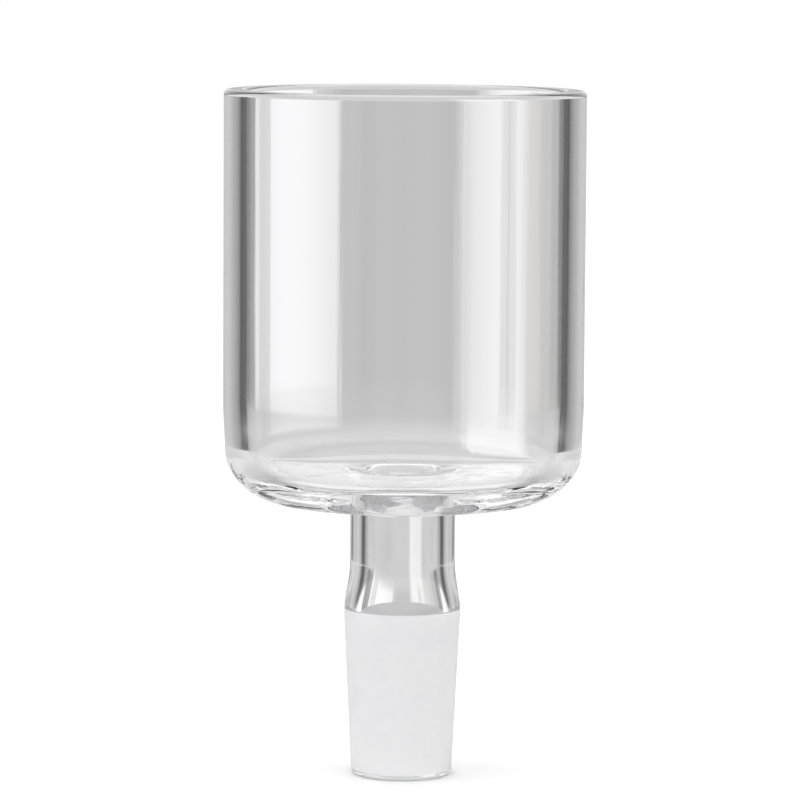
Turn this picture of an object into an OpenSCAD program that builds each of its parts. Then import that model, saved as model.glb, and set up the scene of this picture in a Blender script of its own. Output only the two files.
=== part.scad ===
// Heavy-wall laboratory glass cup with a drain in its base, on a short neck
// that ends in a male ground-glass cone of 1:10 taper. One piece of fused
// borosilicate glass, divided here at flat seams square to the axis.
//
// Frame: Z is the axis of revolution and points up, out of the cup's mouth.
// Z = 0 is the gauge plane of the cone, where it has its large diameter.
// The cone lies below it, the neck and the cup above.

/* [Cup] */
// Outer diameter of the cup
cup_od = 58; // [52:0.5:70]
// Height of the cup from the underside of its base to the rim
cup_h = 66.2; // [40:0.1:120]
// Wall thickness of the cup
wall = 3.6; // [2.8:0.1:5]
// Thickness of the base
floor_t = 5; // [4:0.1:7]
// Radius of the outer corner between wall and base
corner_r = 9.4; // [7:0.1:11]
// Radius of the inner corner between wall and floor
inner_corner_r = 4; // [3:0.1:8]

/* [Rim] */
// Height of the flame-polished rim
rim_h = 2; // [1.4:0.1:4]
// Rounding of the rim's outer edge
rim_outer_r = 1; // [0.4:0.1:1.3]
// Rounding of the rim's inner edge
rim_inner_r = 0.9; // [0.4:0.1:1.3]

/* [Neck] */
// Outer diameter of the neck
neck_od = 17; // [15:0.1:17.8]
// Bore of the neck
neck_bore = 11.2; // [8:0.1:12.6]
// Radius of the fused seal between neck and base
seal_r = 1.6; // [0.8:0.1:2.4]
// Distance from the underside of the base down to the gauge plane
neck_h = 17.9; // [14:0.1:40]

/* [Ground cone] */
// Large diameter of the cone, at the gauge plane
cone_d = 18.8; // [18.6:0.1:19]
// Length of the cone from the gauge plane to its polished tip
cone_l = 25.6; // [20:0.1:28]
// Change in diameter for each unit of length
taper = 0.1; // [0.09:0.005:0.11]
// How far the grinding runs up past the gauge plane
grind_over = 0.6; // [0.2:0.1:1]
// Height of the shoulder where the neck opens out to the cone
shoulder_h = 7.8; // [5:0.1:9]
// Bore of the cone just under the gauge plane
cone_bore = 13.8; // [13:0.1:15]
// Bore of the cone at its tip
tip_bore = 12.66; // [11:0.02:12.8]
// Height of the polished tip
tip_h = 0.8; // [0.6:0.1:0.9]

/* [Hidden] */
$fn = 96;

clear_glass = [0.87, 0.89, 0.90, 0.40];
ground_glass = [0.93, 0.93, 0.94, 0.90];

ro = cup_od / 2;                        // outside of the cup
ri = ro - wall;                         // inside of the cup
rn = neck_od / 2;                       // outside of the neck
rb = neck_bore / 2;                     // bore of the neck and drain
z_base = neck_h;                        // underside of the base
z_floor = z_base + floor_t;             // inside floor
z_seam = z_base + max(corner_r, floor_t + inner_corner_r) + 0.5;
z_rim = z_base + cup_h;                 // top of the rim
z_tip = -cone_l - tip_h;                // lowest point
bore_run = 9.8;                         // length over which the bore opens out
z_bore = shoulder_h - bore_run;         // where the bore stops opening out
edge = 0.05;                            // thickness left at the seal's thin edge
seal_cut = sqrt(seal_r * seal_r - (seal_r - edge) * (seal_r - edge));
steps = 14;                             // bands that make up each swept curve

// An ease-in, ease-out curve from 0 to 1
function ease(t) = let (u = min(max(t, 0), 1)) u * u * (3 - 2 * u);

// Outside radius below the neck at height z
function outer_r(z) = z >= 0
    ? rn + (cone_d / 2 - rn) * ease((shoulder_h - z) / shoulder_h)
    : cone_d / 2 + z * taper / 2;

// Bore radius below the neck at height z
function bore_r(z) = z >= z_bore
    ? rb + (cone_bore / 2 - rb) * ease((shoulder_h - z) / bore_run)
    : cone_bore / 2 - (cone_bore - tip_bore) / 2 * (z_bore - z) / (z_bore + cone_l);

// Heights from a down to b in equal bands
function heights(a, b, n) = [for (i = [0 : n]) a + (b - a) * i / n];

// The waste outside a rounded corner whose edges run along +X and +Y
module corner_waste(r) {
    difference() {
        translate([-1, -1]) square(r + 1);
        translate([r, r]) circle(r);
    }
}

// Half-section of a ring with straight sides
module ring_section(r1, r2, z1, z2) {
    translate([r1, z1]) square([r2 - r1, z2 - z1]);
}

// Half-section of a thick tube that follows outer_r and bore_r over given heights
module swept_section(zs) {
    polygon(concat(
        [for (z = zs) [outer_r(z), z]],
        [for (i = [len(zs) - 1 : -1 : 0]) [bore_r(zs[i]), zs[i]]]
    ));
}

// Flame-polished rim: a flat land between two rounded edges
module cup_rim() {
    color(clear_glass)
    rotate_extrude()
    difference() {
        ring_section(ri, ro, z_rim - rim_h, z_rim);
        translate([ro, z_rim]) rotate(180) corner_waste(rim_outer_r);
        translate([ri, z_rim]) rotate(-90) corner_waste(rim_inner_r);
    }
}

// Straight heavy-wall tube
module cup_wall() {
    color(clear_glass)
    rotate_extrude()
    ring_section(ri, ro, z_seam, z_rim - rim_h);
}

// Outline of the base's outside
module base_outside() {
    ring_section(0, ro - corner_r, z_base, z_seam);
    ring_section(0, ro, z_base + corner_r, z_seam);
    intersection() {
        translate([ro - corner_r, z_base + corner_r]) circle(corner_r);
        ring_section(0, ro, z_base, z_base + corner_r);
    }
}

// Outline of the cup's inside above the floor
module base_inside() {
    ring_section(0, ri - inner_corner_r, z_floor, z_seam + 1);
    ring_section(0, ri, z_floor + inner_corner_r, z_seam + 1);
    translate([ri - inner_corner_r, z_floor + inner_corner_r]) circle(inner_corner_r);
}

// Outline of the drain, which opens out in a quarter round from neck bore to floor
module drain() {
    ring_section(0, rb, z_base - 1, z_floor + 1);
    difference() {
        ring_section(0, rb + floor_t, z_base, z_floor + 1);
        translate([rb + floor_t, z_base]) circle(floor_t);
    }
}

// Thick base with rounded corners inside and out, and the flared drain
module cup_base() {
    color(clear_glass)
    rotate_extrude()
    difference() {
        base_outside();
        base_inside();
        drain();
    }
}

// Fused seal: a hollow blend from the neck out to the underside of the base
module neck_seal() {
    color(clear_glass)
    rotate_extrude()
    difference() {
        ring_section(rb, rn + seal_r - seal_cut, z_base - seal_r, z_base);
        translate([rn + seal_r, z_base - seal_r]) circle(seal_r);
    }
}

// Plain neck between the seal and the shoulder
module neck_tube() {
    color(clear_glass)
    rotate_extrude()
    ring_section(rb, rn, shoulder_h, z_base - seal_r);
}

// Clear shoulder: neck and bore both open out towards the cone
module cone_shoulder() {
    color(clear_glass)
    rotate_extrude()
    swept_section(heights(shoulder_h, grind_over, steps));
}

// Ground zone of the male cone
module ground_cone() {
    color(ground_glass)
    rotate_extrude()
    swept_section(concat(heights(grind_over, 0, 3), [for (i = [1 : 3]) z_bore * i / 3], [-cone_l]));
}

// Flame-polished lower end of the cone
module cone_tip() {
    color(clear_glass)
    rotate_extrude()
    difference() {
        ring_section(bore_r(-cone_l), outer_r(-cone_l), z_tip, -cone_l);
        translate([outer_r(-cone_l), z_tip]) rotate(90) corner_waste(tip_h * 0.95);
        translate([bore_r(-cone_l), z_tip]) corner_waste(tip_h * 0.55);
    }
}

cup_rim();
cup_wall();
cup_base();
neck_seal();
neck_tube();
cone_shoulder();
ground_cone();
cone_tip();
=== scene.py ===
"""Looks of the glass cup with a ground cone: the eight glass zones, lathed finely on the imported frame, with studio light."""

import math

import bpy
import numpy as np
from mathutils import Matrix, Vector


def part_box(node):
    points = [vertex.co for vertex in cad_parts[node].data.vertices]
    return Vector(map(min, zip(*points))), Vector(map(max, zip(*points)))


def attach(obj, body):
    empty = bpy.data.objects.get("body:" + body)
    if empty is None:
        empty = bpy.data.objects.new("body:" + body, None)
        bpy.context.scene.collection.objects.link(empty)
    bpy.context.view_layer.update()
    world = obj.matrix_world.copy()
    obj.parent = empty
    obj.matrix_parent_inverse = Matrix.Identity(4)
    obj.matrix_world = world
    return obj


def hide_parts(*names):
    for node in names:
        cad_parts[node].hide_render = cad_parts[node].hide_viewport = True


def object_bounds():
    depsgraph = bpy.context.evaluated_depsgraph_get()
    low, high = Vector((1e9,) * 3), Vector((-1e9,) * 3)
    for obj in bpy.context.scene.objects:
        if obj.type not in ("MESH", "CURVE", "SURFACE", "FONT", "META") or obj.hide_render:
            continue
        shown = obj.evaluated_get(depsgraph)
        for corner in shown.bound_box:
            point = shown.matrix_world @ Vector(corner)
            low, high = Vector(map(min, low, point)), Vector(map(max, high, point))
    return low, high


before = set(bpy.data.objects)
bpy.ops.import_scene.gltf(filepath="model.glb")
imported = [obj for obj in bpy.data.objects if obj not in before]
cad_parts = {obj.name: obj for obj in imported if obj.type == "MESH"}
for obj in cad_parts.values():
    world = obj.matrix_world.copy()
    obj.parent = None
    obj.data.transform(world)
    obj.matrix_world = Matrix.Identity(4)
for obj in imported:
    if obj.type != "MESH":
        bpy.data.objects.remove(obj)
cad_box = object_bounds()

# ---------------------------------------------------------------- dimensions, in millimetres, the same as the CAD part
RO, RI = 29.0, 25.4          # outside and inside of the cup
RN, RB = 8.5, 5.6            # outside and bore of the neck
Z_BASE, Z_FLOOR = 17.9, 22.9
Z_SEAM, Z_RIM, RIM_H = 27.8, 84.1, 2.0
RIM_OUT, RIM_IN = 1.0, 0.9
FLOOR_T = 5.0
SEAL, SEAL_CUT = 1.6, math.sqrt(1.6**2 - 1.55**2)
SHOULDER, GRIND = 7.8, 0.6
CONE_D, CONE_L, TAPER, TIP_H = 18.8, 25.6, 0.1, 0.8
CONE_BORE, TIP_BORE, BORE_RUN = 13.8, 12.66, 9.8
Z_BORE = SHOULDER - BORE_RUN
Z_TIP = -CONE_L - TIP_H

for node, low, high in (
    ("cup_rim", Z_RIM - RIM_H, Z_RIM),
    ("cup_base", Z_BASE, Z_SEAM),
    ("cone_shoulder", GRIND, SHOULDER),
    ("cone_tip", Z_TIP, -CONE_L),
):
    lo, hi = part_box(node)
    if abs(lo.z * 1000 - low) > 0.1 or abs(hi.z * 1000 - high) > 0.1:
        raise RuntimeError(f"the dimensions here don't match the CAD node {node}")


def ease(t):
    u = min(max(t, 0.0), 1.0)
    return u * u * (3 - 2 * u)


def outer_r(z):
    if z >= 0:
        return RN + (CONE_D / 2 - RN) * ease((SHOULDER - z) / SHOULDER)
    return CONE_D / 2 + z * TAPER / 2


def bore_r(z):
    if z >= Z_BORE:
        return RB + (CONE_BORE / 2 - RB) * ease((SHOULDER - z) / BORE_RUN)
    return CONE_BORE / 2 - (CONE_BORE - TIP_BORE) / 2 * (Z_BORE - z) / (Z_BORE + CONE_L)


# ---------------------------------------------------------------- profiles: runs of (r, z, normal r, normal z)
CLEAR, GROUND, SEAM = 0, 1, 2


def line(r1, z1, r2, z2, n, nr, nz, mat=CLEAR):
    t = np.linspace(0, 1, n + 1)
    pts = np.stack([r1 + (r2 - r1) * t, z1 + (z2 - z1) * t, 0 * t + nr, 0 * t + nz], 1)
    return pts, mat


def arc(cr, cz, rad, a0, a1, n, sign=1.0, mat=CLEAR):
    a = np.radians(np.linspace(a0, a1, n + 1))
    c, s = np.cos(a), np.sin(a)
    return np.stack([cr + rad * c, cz + rad * s, sign * c, sign * s], 1), mat


def sweep(fn, z0, z1, n, sign, mat=CLEAR):
    rows = []
    for z in np.linspace(z0, z1, n + 1):
        e = 1e-3
        lo, hi = max(z - e, min(z0, z1)), min(z + e, max(z0, z1))
        d = (fn(hi) - fn(lo)) / (hi - lo)
        k = sign / math.hypot(1, d)
        rows.append((fn(z), z, k, -d * k))
    return np.array(rows), mat


def smooth(points, sign, mat=CLEAR):
    """A run through points of one smooth curve: its normals come from the curve's own direction."""
    q = np.asarray(points, float)
    keep = np.concatenate([[True], np.hypot(*np.diff(q, axis=0).T) > 1e-4])
    q = q[keep]
    t = np.gradient(q, np.concatenate([[0], np.cumsum(np.hypot(*np.diff(q, axis=0).T))]), axis=0)
    t /= np.hypot(t[:, 0], t[:, 1])[:, None]
    return np.stack([q[:, 0], q[:, 1], sign * t[:, 1], -sign * t[:, 0]], 1), mat


def rounded(a, b, power, n):
    """A quarter of a superellipse, from straight down (0, -b) round to level (a, 0)."""
    t = np.radians(np.linspace(0, 90, n + 1))
    return a * np.sin(t) ** (2 / power), -b * np.cos(t) ** (2 / power)


# The worked end of the cup: the wall draws in a little before the corner turns under, outside and inside alike.
OUT_A, OUT_B, OUT_P = 10.0, 8.4, 1.96
IN_A, IN_B, IN_P = 3.6, 4.7, 2.5


def drawn_in(r, z, by, top, run, full):
    """How far the wall stands in from its true cylinder at height z; it dies away towards the middle of the base."""
    return by * ease((top - z) / run) * ease((r - 13.0) / (full - 13.0))


def outside_path():
    """From the underside near the neck, out and round the corner, and up to the rim zone."""
    x, y = rounded(OUT_A, OUT_B, OUT_P, 72)
    pts = [(r, Z_BASE) for r in np.linspace(RN + SEAL - SEAL_CUT, RO - OUT_A - 0.1, 14)]
    pts += list(zip(RO - OUT_A + x, Z_BASE + OUT_B + y))
    z = Z_BASE + OUT_B
    pts += [(RO, q) for q in np.concatenate([np.linspace(z + 0.15, 36, 44), np.linspace(37.5, Z_RIM - RIM_H, 30)])]
    return [(r - drawn_in(r, q, 0.30, 34.0, 8.5, RO), q) for r, q in pts]


def inside_path():
    """From the rim zone down the bore, round into the floor, and in to the drain's edge."""
    x, y = rounded(IN_A, IN_B, IN_P, 60)
    corner = list(zip(RI - IN_A + x, Z_FLOOR + IN_B + y))[::-1]
    top = Z_FLOOR + IN_B
    pts = [(RI, q) for q in np.concatenate([np.linspace(Z_RIM - RIM_H, 37.5, 30), np.linspace(36, top + 0.15, 44)])]
    pts += corner
    pts += [(r, Z_FLOOR) for r in np.linspace(RI - IN_A - 0.1, RB + FLOOR_T, 14)]
    return [(r - drawn_in(r, q, 0.30, 34.5, 8.5, RI), q) for r, q in pts]


def profiles():
    p = {}
    z1 = Z_RIM - RIM_H
    outer_wall, inner_wall = smooth(outside_path(), 1), smooth(inside_path(), 1)

    def part(run, upper):
        rows = run[0]
        keep = rows[:, 1] >= Z_SEAM - 1e-6 if upper else rows[:, 1] <= Z_SEAM + 1e-6
        k = np.interp(Z_SEAM, *((rows[:, 1], np.arange(len(rows))) if rows[0, 1] < rows[-1, 1] else (rows[::-1, 1], np.arange(len(rows))[::-1])))
        i = int(k)
        f = k - i
        edge = rows[i] * (1 - f) + rows[min(i + 1, len(rows) - 1)] * f
        edge[1] = Z_SEAM
        kept = rows[keep]
        before = (rows[0, 1] < Z_SEAM) != upper
        kept = np.vstack([kept, edge]) if before else np.vstack([edge, kept])
        return kept, CLEAR

    seam_out = part(outer_wall, True)[0][0, 0]
    seam_in = part(inner_wall, True)[0][-1, 0]
    p["cup_rim"] = [
        line(RO, z1, RO, Z_RIM - RIM_OUT, 3, 1, 0),
        arc(RO - RIM_OUT, Z_RIM - RIM_OUT, RIM_OUT, 0, 90, 18),
        line(RO - RIM_OUT, Z_RIM, RI + RIM_IN, Z_RIM, 4, 0, 1),
        arc(RI + RIM_IN, Z_RIM - RIM_IN, RIM_IN, 90, 180, 18),
        line(RI, Z_RIM - RIM_IN, RI, z1, 3, -1, 0),
        line(RI, z1, RO, z1, 1, 0, -1, SEAM),
    ]
    p["cup_wall"] = [
        part(outer_wall, True),
        line(RO, z1, RI, z1, 1, 0, 1, SEAM),
        part(inner_wall, True),
        line(seam_in, Z_SEAM, seam_out, Z_SEAM, 1, 0, -1, SEAM),
    ]
    r_flat_out = RN + SEAL - SEAL_CUT
    drain = RB + FLOOR_T
    p["cup_base"] = [
        line(RB, Z_BASE, r_flat_out, Z_BASE, 2, 0, -1, SEAM),
        part(outer_wall, False),
        line(seam_out, Z_SEAM, seam_in, Z_SEAM, 1, 0, 1, SEAM),
        part(inner_wall, False),
        arc(drain, Z_BASE, FLOOR_T, 90, 180, 28),
    ]
    z2 = Z_BASE - SEAL
    p["neck_seal"] = [
        line(RB, z2, RN, z2, 1, 0, -1, SEAM),
        arc(RN + SEAL, z2, SEAL, 180, 90 + math.degrees(math.asin(SEAL_CUT / SEAL)), 16, -1),
        line(r_flat_out, z2 + SEAL - 0.05, r_flat_out, Z_BASE, 1, 1, 0),
        line(r_flat_out, Z_BASE, RB, Z_BASE, 2, 0, 1, SEAM),
        line(RB, Z_BASE, RB, z2, 3, -1, 0),
    ]
    p["neck_tube"] = [
        line(RB, SHOULDER, RN, SHOULDER, 1, 0, -1, SEAM),
        line(RN, SHOULDER, RN, z2, 10, 1, 0),
        line(RN, z2, RB, z2, 1, 0, 1, SEAM),
        line(RB, z2, RB, SHOULDER, 10, -1, 0),
    ]
    p["cone_shoulder"] = [
        line(bore_r(GRIND), GRIND, outer_r(GRIND), GRIND, 1, 0, -1, SEAM),
        sweep(outer_r, GRIND, SHOULDER, 20, 1),
        line(RN, SHOULDER, RB, SHOULDER, 1, 0, 1, SEAM),
        sweep(bore_r, SHOULDER, GRIND, 20, -1),
    ]
    p["ground_cone"] = [
        line(bore_r(-CONE_L), -CONE_L, outer_r(-CONE_L), -CONE_L, 1, 0, -1, SEAM),
        sweep(outer_r, -CONE_L, -0.02, 64, 1, GROUND),
        sweep(outer_r, -0.02, GRIND, 3, 1, GROUND),
        line(outer_r(GRIND), GRIND, bore_r(GRIND), GRIND, 1, 0, 1, SEAM),
        sweep(bore_r, GRIND, Z_BORE, 8, -1),
        sweep(bore_r, Z_BORE, -CONE_L, 24, -1),
    ]
    ra, rb2 = outer_r(-CONE_L), bore_r(-CONE_L)
    a, b = TIP_H * 0.95, TIP_H * 0.55
    p["cone_tip"] = [
        line(rb2 + b, Z_TIP, ra - a, Z_TIP, 2, 0, -1),
        arc(ra - a, Z_TIP + a, a, -90, 0, 14),
        line(ra, Z_TIP + a, ra, -CONE_L, 1, 1, 0),
        line(ra, -CONE_L, rb2, -CONE_L, 1, 0, 1, SEAM),
        line(rb2, -CONE_L, rb2, Z_TIP + b, 2, -1, 0),
        arc(rb2 + b, Z_TIP + b, b, 180, 270, 10),
    ]
    return p


SEGMENTS = 288


def ripple(r, z, phi):
    """How far the hand-worked lower part of the cup leaves a true turned shape, radially, in mm, and its slopes."""
    k = math.exp(-(((z - 23.0) / 6.5) ** 2)) * 0.04
    a1, a2, a3 = 3 * phi + 0.7, 5 * phi - 1.9 + 0.05 * z, 9 * phi + 0.4
    h = k * (math.sin(a1) + 0.6 * math.sin(a2) + 0.35 * math.sin(a3))
    dphi = k * (3 * math.cos(a1) + 3.0 * math.cos(a2) + 3.15 * math.cos(a3))
    return h, dphi


def lathe(name, runs, materials):
    """A closed ring from runs of profile points, with the profile's own normals as corner normals."""
    points, faces_runs = [], []
    first = 0
    index = {}

    def vert(r, z):
        key = (round(r, 5), round(z, 5))
        if key not in index:
            index[key] = len(points)
            points.append((r, z))
        return index[key]

    quads, normals, mats = [], [], []
    for pts, mat in runs:
        ids = [vert(q[0], q[1]) for q in pts]
        for i in range(len(pts) - 1):
            if ids[i] == ids[i + 1]:
                continue
            quads.append((ids[i], ids[i + 1]))
            normals.append((pts[i][2:], pts[i + 1][2:]))
            mats.append(mat)
    n_prof = len(points)
    phis = np.linspace(0, 2 * math.pi, SEGMENTS, endpoint=False)
    verts = np.zeros((SEGMENTS, n_prof, 3))
    slope = np.zeros((SEGMENTS, n_prof))
    for j, phi in enumerate(phis):
        c, s = math.cos(phi), math.sin(phi)
        for i, (r, z) in enumerate(points):
            h, d = ripple(r, z, phi)
            rr = r + h
            verts[j, i] = (rr * c, rr * s, z)
            slope[j, i] = d / r
    verts = verts.reshape(-1, 3) * 0.001
    faces, loop_normals, face_mats = [], [], []
    for j in range(SEGMENTS):
        k = (j + 1) % SEGMENTS
        for (a, b), (na, nb), m in zip(quads, normals, mats):
            quad = [(j, a, na), (k, a, na), (k, b, nb), (j, b, nb)]
            ra, za = points[a]
            rb_, zb = points[b]
            # geometric normal of (a -> next segment -> b), in the section plane
            g = (zb - za, -(rb_ - ra))
            if g[0] * (na[0] + nb[0]) + g[1] * (na[1] + nb[1]) < 0:
                quad.reverse()
            faces.append([jj * n_prof + i for jj, i, _ in quad])
            face_mats.append(m)
            for jj, i, nn in quad:
                phi = phis[jj]
                c, s = math.cos(phi), math.sin(phi)
                t = -slope[jj, i] * nn[0]
                v = Vector((nn[0] * c - t * s, nn[0] * s + t * c, nn[1]))
                v.normalize()
                loop_normals.append(v)
    mesh = bpy.data.meshes.new(name)
    mesh.from_pydata([tuple(v) for v in verts], [], faces)
    mesh.polygons.foreach_set("use_smooth", [True] * len(faces))
    used = sorted(set(face_mats))
    for m in used:
        mesh.materials.append(materials[m])
    lookup = {m: i for i, m in enumerate(used)}
    mesh.polygons.foreach_set("material_index", [lookup[m] for m in face_mats])
    mesh.update()
    mesh.normals_split_custom_set([tuple(n) for n in loop_normals])
    mesh.update()
    piece = bpy.data.objects.new(name, mesh)
    bpy.context.scene.collection.objects.link(piece)
    return piece


# ---------------------------------------------------------------- materials
def nodes_of(material):
    material.use_nodes = True
    tree = material.node_tree
    tree.nodes.clear()
    out = tree.nodes.new("ShaderNodeOutputMaterial")
    return tree, out


def principled(tree, out, **values):
    shader = tree.nodes.new("ShaderNodeBsdfPrincipled")
    for key, value in values.items():
        shader.inputs[key.replace("_", " ")].default_value = value
    tree.links.new(shader.outputs[0], out.inputs["Surface"])
    return shader


def clear_glass(name="clear_glass", worked=False):
    """Fused borosilicate: drawn tube, so its faint unevenness runs along the axis, and is stronger where it was worked."""
    material = bpy.data.materials.new(name)
    tree, out = nodes_of(material)
    shader = principled(
        tree, out, Base_Color=(0.988, 0.985, 0.987, 1), Roughness=0.0, IOR=1.473, Transmission_Weight=1.0
    )
    coords = tree.nodes.new("ShaderNodeTexCoord")
    stretch = tree.nodes.new("ShaderNodeMapping")
    stretch.inputs["Scale"].default_value = (1.0, 1.0, 0.03)
    tree.links.new(coords.outputs["Object"], stretch.inputs["Vector"])
    streaks = tree.nodes.new("ShaderNodeTexNoise")
    streaks.inputs["Scale"].default_value = 420.0
    streaks.inputs["Detail"].default_value = 2.0
    tree.links.new(stretch.outputs[0], streaks.inputs["Vector"])
    waves = tree.nodes.new("ShaderNodeTexNoise")
    waves.inputs["Scale"].default_value = 95.0
    waves.inputs["Detail"].default_value = 1.0
    tree.links.new(coords.outputs["Object"], waves.inputs["Vector"])
    b1 = tree.nodes.new("ShaderNodeBump")
    b1.inputs["Strength"].default_value = 1.0
    b1.inputs["Distance"].default_value = 0.000006
    tree.links.new(streaks.outputs["Fac"], b1.inputs["Height"])
    b2 = tree.nodes.new("ShaderNodeBump")
    b2.inputs["Strength"].default_value = 1.0
    b2.inputs["Distance"].default_value = 0.000006
    tree.links.new(waves.outputs["Fac"], b2.inputs["Height"])
    tree.links.new(b1.outputs[0], b2.inputs["Normal"])
    normal = b2.outputs[0]
    if worked:
        # the flame-worked base: hammered-looking facets near the underside, dying out up the wall
        facets = tree.nodes.new("ShaderNodeTexNoise")
        facets.inputs["Scale"].default_value = 190.0
        facets.inputs["Detail"].default_value = 1.5
        facets.inputs["Distortion"].default_value = 0.6
        tree.links.new(coords.outputs["Object"], facets.inputs["Vector"])
        split = tree.nodes.new("ShaderNodeSeparateXYZ")
        tree.links.new(coords.outputs["Object"], split.inputs[0])
        fade = tree.nodes.new("ShaderNodeMapRange")
        fade.interpolation_type = "SMOOTHSTEP"
        fade.inputs["From Min"].default_value = 0.0205
        fade.inputs["From Max"].default_value = 0.0262
        fade.inputs["To Min"].default_value = 1.0
        fade.inputs["To Max"].default_value = 0.0
        tree.links.new(split.outputs["Z"], fade.inputs["Value"])
        height = tree.nodes.new("ShaderNodeMath")
        height.operation = "MULTIPLY"
        tree.links.new(facets.outputs["Fac"], height.inputs[0])
        tree.links.new(fade.outputs["Result"], height.inputs[1])
        b3 = tree.nodes.new("ShaderNodeBump")
        b3.inputs["Strength"].default_value = 1.0
        b3.inputs["Distance"].default_value = 0.00008
        tree.links.new(height.outputs[0], b3.inputs["Height"])
        tree.links.new(normal, b3.inputs["Normal"])
        normal = b3.outputs[0]
    tree.links.new(normal, shader.inputs["Normal"])
    return material


def ground_glass():
    """Ground zone: fine matt grain over the whole cone."""
    material = bpy.data.materials.new("ground_glass")
    tree, out = nodes_of(material)
    shader = principled(
        tree, out, Base_Color=(0.95, 0.95, 0.955, 1), Roughness=0.62, IOR=1.473, Transmission_Weight=0.48
    )
    coords = tree.nodes.new("ShaderNodeTexCoord")
    grain = tree.nodes.new("ShaderNodeTexNoise")
    grain.inputs["Scale"].default_value = 5200.0
    grain.inputs["Detail"].default_value = 2.0
    tree.links.new(coords.outputs["Object"], grain.inputs["Vector"])
    turned = tree.nodes.new("ShaderNodeMapping")
    turned.inputs["Scale"].default_value = (0.12, 0.12, 1.0)
    tree.links.new(coords.outputs["Object"], turned.inputs["Vector"])
    rings = tree.nodes.new("ShaderNodeTexNoise")
    rings.inputs["Scale"].default_value = 1500.0
    rings.inputs["Detail"].default_value = 3.0
    tree.links.new(turned.outputs[0], rings.inputs["Vector"])
    # tone: slow clouding of the grind
    cloud = tree.nodes.new("ShaderNodeTexNoise")
    cloud.inputs["Scale"].default_value = 150.0
    cloud.inputs["Detail"].default_value = 9.0
    cloud.inputs["Roughness"].default_value = 0.75
    tree.links.new(coords.outputs["Object"], cloud.inputs["Vector"])
    tone = tree.nodes.new("ShaderNodeValToRGB")
    tone.color_ramp.elements[0].position = 0.3
    tone.color_ramp.elements[0].color = (0.88, 0.875, 0.895, 1)
    tone.color_ramp.elements[1].position = 0.7
    tone.color_ramp.elements[1].color = (0.975, 0.975, 0.975, 1)
    tree.links.new(cloud.outputs["Fac"], tone.inputs["Fac"])
    tree.links.new(tone.outputs[0], shader.inputs["Base Color"])
    b1 = tree.nodes.new("ShaderNodeBump")
    b1.inputs["Strength"].default_value = 0.5
    b1.inputs["Distance"].default_value = 0.00002
    tree.links.new(grain.outputs["Fac"], b1.inputs["Height"])
    b2 = tree.nodes.new("ShaderNodeBump")
    b2.inputs["Strength"].default_value = 0.35
    b2.inputs["Distance"].default_value = 0.00002
    tree.links.new(rings.outputs["Fac"], b2.inputs["Height"])
    tree.links.new(b1.outputs[0], b2.inputs["Normal"])
    tree.links.new(b2.outputs[0], shader.inputs["Normal"])
    return material


def seam_material():
    """Where two zones of the one piece of glass meet, there is no surface to see."""
    material = bpy.data.materials.new("fused_joint")
    tree, out = nodes_of(material)
    clear = tree.nodes.new("ShaderNodeBsdfTransparent")
    tree.links.new(clear.outputs[0], out.inputs["Surface"])
    return material


MATERIALS = {CLEAR: clear_glass(), GROUND: ground_glass(), SEAM: seam_material()}
WORKED = {**MATERIALS, CLEAR: clear_glass("worked_glass", worked=True)}

# ---------------------------------------------------------------- pieces
for node, runs in profiles().items():
    piece = lathe(node + "_glass", runs, WORKED if node == "cup_base" else MATERIALS)
    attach(piece, "root")
    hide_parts(node)

# ---------------------------------------------------------------- floor
low = cad_box[0].z
bpy.ops.mesh.primitive_circle_add(vertices=96, radius=3.0, fill_type="NGON", location=(0, 0, low - 0.00005))
floor = bpy.context.object
floor.name = "floor"
material = bpy.data.materials.new("pale_floor")
tree, out = nodes_of(material)
surface = tree.nodes.new("ShaderNodeBsdfDiffuse")
surface.inputs["Color"].default_value = (0.94, 0.94, 0.94, 1)
through = tree.nodes.new("ShaderNodeBsdfTransparent")
side = tree.nodes.new("ShaderNodeMixShader")
geometry = tree.nodes.new("ShaderNodeNewGeometry")
tree.links.new(geometry.outputs["Backfacing"], side.inputs[0])
tree.links.new(surface.outputs[0], side.inputs[1])
tree.links.new(through.outputs[0], side.inputs[2])
tree.links.new(side.outputs[0], out.inputs["Surface"])
floor.data.materials.append(material)
floor.visible_glossy = False
floor.visible_transmission = False


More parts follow.
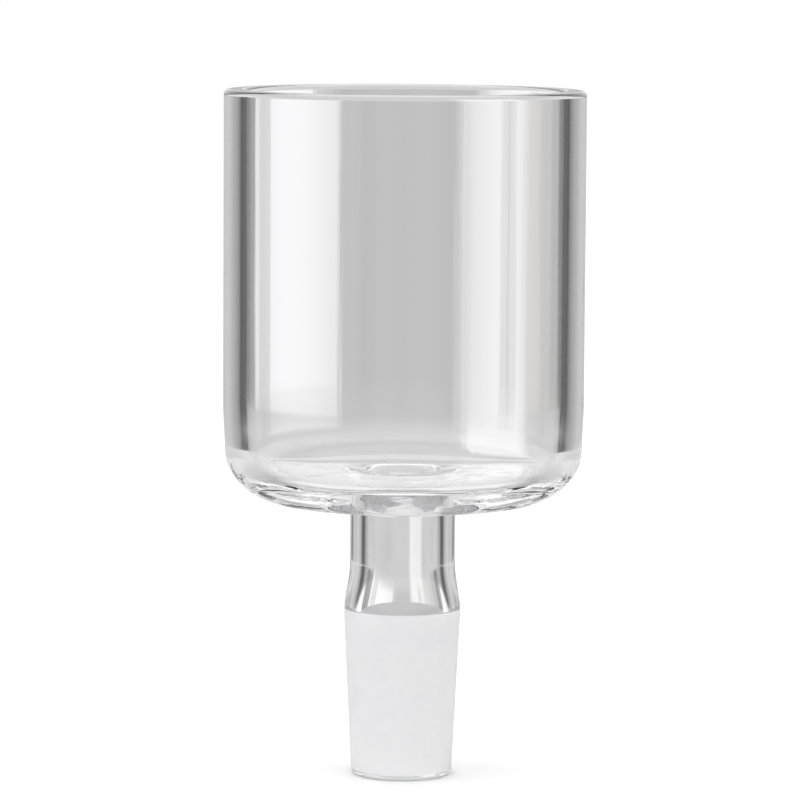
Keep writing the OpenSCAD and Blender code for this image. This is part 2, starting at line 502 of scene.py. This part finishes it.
# ---------------------------------------------------------------- world: white room seen directly; through the glass, a grey
# sweep with bright cards and dark corners, the same on four sides
def world_light():
    world = bpy.data.worlds.new("studio")
    bpy.context.scene.world = world
    world.use_nodes = True
    world.cycles.sampling_method = "NONE"
    tree = world.node_tree
    tree.nodes.clear()

    def new(kind, **attributes):
        node = tree.nodes.new(kind)
        for key, value in attributes.items():
            setattr(node, key, value)
        return node

    def link(a, b):
        tree.links.new(a, b)

    def value(op, a, b=None, c=None, clamp=False):
        node = new("ShaderNodeMath", operation=op, use_clamp=clamp)
        for i, v in enumerate((a, b, c)):
            if v is None:
                continue
            if isinstance(v, (int, float)):
                node.inputs[i].default_value = v
            else:
                link(v, node.inputs[i])
        return node.outputs[0]

    def ramp(fac, stops, scale=1.0):
        node = new("ShaderNodeValToRGB")
        elements = node.color_ramp.elements
        while len(elements) > 1:
            elements.remove(elements[-1])
        for i, (position, colour) in enumerate(stops):
            e = elements[0] if i == 0 else elements.new(position)
            e.position = position
            v = colour if isinstance(colour, tuple) else (colour,) * 3
            e.color = (v[0] / scale, v[1] / scale, v[2] / scale, 1)
        link(fac, node.inputs["Fac"])
        if scale == 1.0:
            return node.outputs["Color"]
        big = new("ShaderNodeVectorMath", operation="SCALE")
        link(node.outputs["Color"], big.inputs[0])
        big.inputs["Scale"].default_value = scale
        return big.outputs[0]

    def mix(fac, a, b):
        node = new("ShaderNodeMix", data_type="RGBA")
        if isinstance(fac, (int, float)):
            node.inputs[0].default_value = fac
        else:
            link(fac, node.inputs[0])
        for socket, v in ((node.inputs[6], a), (node.inputs[7], b)):
            if isinstance(v, tuple):
                socket.default_value = (*v, 1)
            else:
                link(v, socket)
        return node.outputs[2]

    coords = new("ShaderNodeTexCoord")
    parts = new("ShaderNodeSeparateXYZ")
    link(coords.outputs["Generated"], parts.inputs[0])
    x, y, z = parts.outputs
    around = value("DIVIDE", value("ARCTAN2", x, y), 2 * math.pi)
    around = value("ADD", around, 0.5)                       # 0.5 is straight behind the object, +Y
    up = value("DIVIDE", value("ARCSINE", z), math.pi)
    up = value("ADD", up, 0.5)                               # 0 straight down, 1 straight up

    def high(degrees):
        return (degrees + 90) / 180

    # the studio is the same on all four sides: 0.5 is straight at one side's middle, 0 and 1 are its corners
    turned = value("FRACT", value("MULTIPLY_ADD", around, 4.0, -1.5))

    def off(degrees):
        return degrees / 90 + 0.5

    cool, warm = (0.985, 0.99, 1.0), (1.0, 0.99, 0.975)

    def tint(c, k):
        return tuple(k * v for v in c)

    # light straight through: a grey sweep with bright cards to its left and right, and dark corners
    left = [
        (-45, 0.05), (-38, 0.05), (-29, 0.14), (-25, 0.3), (-20.5, 0.34), (-19.4, 1.02), (-17.4, 1.0), (-16.7, 0.8),
        (-12.0, 0.81), (-11.6, tint(cool, 1.07)), (-7, tint(cool, 1.06)), (-4.2, 0.99), (-3.15, 0.96), (-2.9, 0.64),
        (-2.2, 0.61), (-1.95, 0.54), (0, 0.54),
    ]
    right = [
        (0, 0.54), (2.25, 0.55), (2.4, 0.66), (2.9, 0.87), (3.6, 0.95), (5.35, 0.98), (5.5, 0.8), (6.0, 0.8),
        (6.1, 0.7), (6.4, 0.7), (6.55, 0.8), (7.2, 0.84), (7.4, 0.96), (8.3, 0.9), (9.2, tint(warm, 0.73)),
        (12.4, tint(warm, 0.72)), (12.7, tint(warm, 0.66)), (16.5, tint(warm, 0.64)), (19.5, 0.46), (21, 0.5),
        (24.5, 0.5), (26.5, 0.14), (33, 0.06), (45, 0.05),
    ]
    sweep_light = mix(
        value("GREATER_THAN", turned, 0.5),
        ramp(turned, [(off(d), v) for d, v in left], 2.0),
        ramp(turned, [(off(d), v) for d, v in right], 2.0),
    )
    ground = ramp(up, [(high(-90), 0.86), (high(-40), 0.8), (high(-22), 0.64), (high(-9), 0.63), (high(-7), 0.66)])
    card = ramp(turned, [(off(2.4), 0.0), (off(3.2), 1.0), (off(8), 1.0), (off(10), 0.0)])
    card_end = ramp(up, [(high(-18), 0.0), (high(-12), 1.0)])
    ground = mix(value("MULTIPLY", card, card_end), ground, (0.97, 0.97, 0.97))
    low_end = ramp(up, [(high(-7.3), 1.0), (high(-6.5), 0.6), (high(-6.0), 0.0)])
    high_end = ramp(up, [(high(2), 0.0), (high(5), 1.0)])
    through_light = mix(low_end, sweep_light, ground)
    through_light = mix(high_end, through_light, (0.95, 0.95, 0.95))

    # reflected light: the same sweep and dark corners, and the pale floor and ceiling with their own bands
    sides = ramp(turned, [
        (off(-45), 0.1), (off(-40.5), 0.05), (off(-36), 0.3), (off(-28), 0.48), (off(-14), 0.68), (off(0), 0.56),
        (off(14), 0.68), (off(28), 0.46), (off(36), 0.28), (off(40.5), 0.05), (off(45), 0.1),
    ])
    ends = ramp(up, [
        (high(-90), 0.8), (high(-50), 0.95), (high(-36), 0.5), (high(-27), 0.6), (high(-18), 0.66), (high(-14), 0.8),
        (high(-7), 0.8), (high(3), 1.1), (high(20), 1.25), (high(28), 1.3), (high(36), 0.5), (high(48), 0.5),
        (high(56), 1.3), (high(68), 0.7), (high(90), 0.7),
    ], 2.0)
    heights = ramp(up, [(high(-9.6), 0.0), (high(-8.3), 1.0), (high(2), 1.0), (high(4), 0.0)])
    reflected = mix(heights, ends, sides)

    rays = new("ShaderNodeLightPath")
    bounced = value("GREATER_THAN", rays.outputs["Glossy Depth"], 0.5)
    scattered = value("GREATER_THAN", rays.outputs["Diffuse Depth"], 0.5)
    light = mix(bounced, through_light, reflected)
    light = mix(scattered, light, (1.12, 1.12, 1.12))
    light = mix(rays.outputs["Is Camera Ray"], light, (1.0, 1.0, 1.0))
    background = new("ShaderNodeBackground")
    link(light, background.inputs["Color"])
    output = new("ShaderNodeOutputWorld")
    link(background.outputs[0], output.inputs["Surface"])


world_light()


def area(name, place, target, size, power, colour=(1, 1, 1)):
    data = bpy.data.lights.new(name, "AREA")
    data.shape = "RECTANGLE"
    data.size, data.size_y = size
    data.energy = power
    data.color = colour
    lamp = bpy.data.objects.new(name, data)
    bpy.context.scene.collection.objects.link(lamp)
    lamp.location = place
    lamp.rotation_euler = (Vector(target) - Vector(place)).to_track_quat("-Z", "Y").to_euler()
    lamp.visible_camera = False
    lamp.visible_glossy = False
    lamp.visible_transmission = False
    return lamp


middle = (0, 0, (cad_box[0].z + cad_box[1].z) / 2)
area("softbox_left", (-1.0, -0.25, 0.35), middle, (0.9, 0.9), 2.9, (0.98, 0.975, 1.0))
area("softbox_right", (1.1, -0.5, 0.30), middle, (0.7, 0.9), 2.3, (1.0, 0.98, 0.97))
area("softbox_top", (0, 0.1, 1.3), middle, (1.4, 1.4), 2.2)

# ---------------------------------------------------------------- camera
camera_data = bpy.data.cameras.new("camera")
camera_data.sensor_width = 36.0
camera_data.lens = 201.33
camera_data.clip_start, camera_data.clip_end = 0.01, 20.0
camera = bpy.data.objects.new("camera", camera_data)
bpy.context.scene.collection.objects.link(camera)
pitch, roll = math.radians(5.874), math.radians(0.354)
camera.matrix_world = (
    Matrix.Translation((-0.00056, -0.7158, 0.1079))
    @ Matrix.Rotation(math.pi / 2 - pitch, 4, "X")
    @ Matrix.Rotation(roll, 4, "Z")
)
bpy.context.scene.camera = camera

scene = bpy.context.scene
scene.view_settings.view_transform = "Standard"
scene.cycles.max_bounces = 24
scene.cycles.transmission_bounces = 24
scene.cycles.glossy_bounces = 16
scene.cycles.transparent_max_bounces = 32
